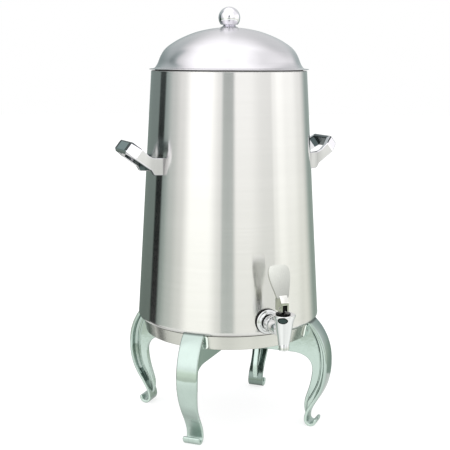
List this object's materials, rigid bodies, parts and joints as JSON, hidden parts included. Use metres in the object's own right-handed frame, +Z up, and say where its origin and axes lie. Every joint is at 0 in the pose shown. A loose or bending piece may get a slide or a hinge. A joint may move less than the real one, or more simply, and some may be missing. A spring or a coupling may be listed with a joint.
{
  "type": "insulated coffee urn",
  "caption": "Tapered insulated drink urn with a lift-off domed lid and ball knob, side loop handles, a lever tap and a stand of curved cast legs.",
  "frame": {"origin": "on the floor, at the centre of the footprint of the four feet, under the vessel's axis", "axes": "+Z up along the vessel's axis, the tap towards -Y, the handles on +X and -X"},
  "size_m": [0.3728, 0.3728, 0.6798],
  "materials": {
    "satin_steel": "fine brushing around the axis",
    "inner_steel": "dull mill finish",
    "chrome": "polished",
    "cast_chrome": "polished casting",
    "fastener_steel": "plain",
    "black_rubber": "matt",
    "silicone": "matt",
    "black_plastic": "glossy",
    "badge_plastic": "glossy, plain"
  },
  "bodies": {
    "urn": {"outer_shell": "satin_steel", "mouth_ring": "inner_steel", "inner_vessel": "inner_steel", "vacuum_pan": "inner_steel", "seal_cap": "inner_steel", "tap_sleeve": "inner_steel", "seam_gasket": "black_rubber", "base_band": "satin_steel", "base_plate": "inner_steel", "handle_left": "cast_chrome", "handle_right": "cast_chrome", "handle_studs": "fastener_steel", "handle_setscrews": "fastener_steel", "leg_front_left": "cast_chrome", "leg_front_right": "cast_chrome", "leg_rear_left": "cast_chrome", "leg_rear_right": "cast_chrome", "stand_hub": "cast_chrome", "hub_bolt": "fastener_steel", "hub_nut": "fastener_steel", "leg_screws": "fastener_steel", "tap_gasket_outer": "black_rubber", "tap_flange": "chrome", "tap_shank": "fastener_steel", "tap_gasket_inner": "black_rubber", "tap_locknut": "fastener_steel", "coupling_washer": "black_rubber", "coupling_nut": "chrome", "tap_body": "chrome", "tap_bonnet": "black_plastic", "tap_badge": "badge_plastic", "tap_spring": "fastener_steel"},
    "lid": {"lid_dome": "satin_steel", "lid_liner": "inner_steel", "lid_gasket": "black_rubber", "knob_ball": "chrome", "knob_collar": "chrome", "knob_screw": "fastener_steel", "knob_washer": "fastener_steel", "knob_nut": "fastener_steel"},
    "stem": {"tap_stem": "black_plastic", "seat_cup": "silicone", "lever_pin": "fastener_steel"},
    "lever": {"tap_lever": "chrome"}
  },
  "joints": [
    {"name": "lid_lift", "type": "slide", "parent": "urn", "child": "lid", "axis": [0, 0, 1], "range_m": [0, 0.2]},
    {"name": "stem_lift", "type": "slide", "parent": "urn", "child": "stem", "axis": [0, 0, 1], "range_m": [0, 0.005], "stiffness_N_per_m": 60, "springref_m": -0.006, "deforming": ["tap_spring"]},
    {"name": "lever_pull", "type": "hinge", "parent": "stem", "child": "lever", "pos_m": [0, -0.2025, 0.2325], "axis": [1, 0, 0], "range_deg": [0, 40]}
  ],
  "couplings": [
    {"joint": "stem_lift", "follows": "lever_pull", "m_per_rad": 0.00715}
  ]
}
